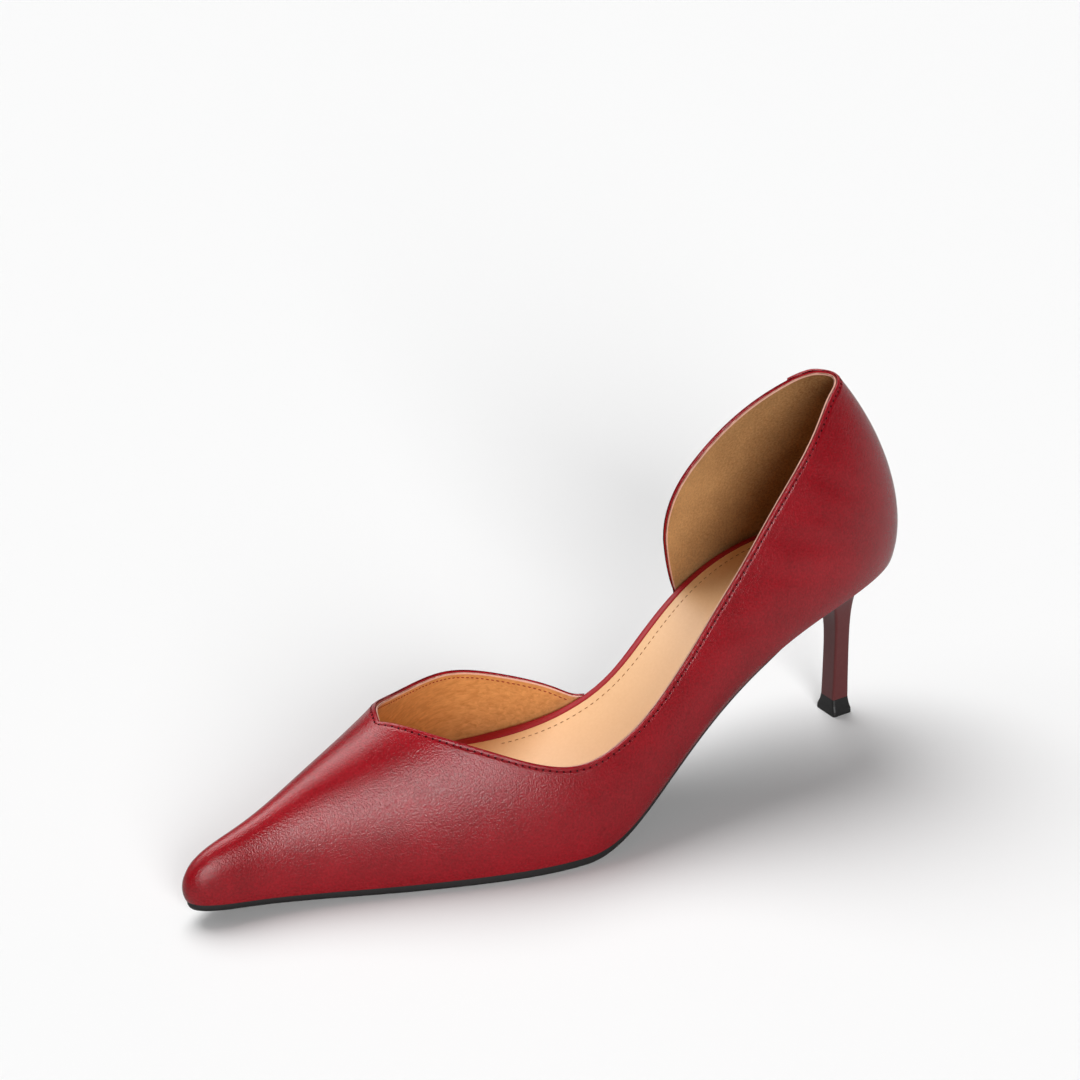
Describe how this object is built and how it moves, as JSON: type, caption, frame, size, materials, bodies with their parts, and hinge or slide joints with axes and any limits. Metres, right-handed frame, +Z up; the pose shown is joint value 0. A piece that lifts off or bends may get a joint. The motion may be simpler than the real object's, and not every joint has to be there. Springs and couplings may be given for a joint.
{
  "type": "dorsay pump",
  "caption": "Pointed-toe dorsay pump for the left foot, closed on the outer side, cut open on the inner side, on a slim square mid heel",
  "frame": {"origin": "middle of the shoe's box in plan, on the floor that it stands on", "axes": "+X towards the outer side of the foot, +Y from the toe to the back of the heel, +Z up"},
  "size_m": [0.0766, 0.2408, 0.1147],
  "materials": {
    "red_leather": "satin, fine grain",
    "board_wrap": "satin, fine grain",
    "heel_cover": "semi-gloss",
    "sole_black": "matt",
    "tip_black": "matt",
    "sock_leather": "smooth satin"
  },
  "bodies": {
    "root": {"outsole": "sole_black", "heel": "heel_cover", "top_lift": "tip_black", "upper": "red_leather", "insole_board": "board_wrap", "sock": "sock_leather"}
  },
  "joints": []
}
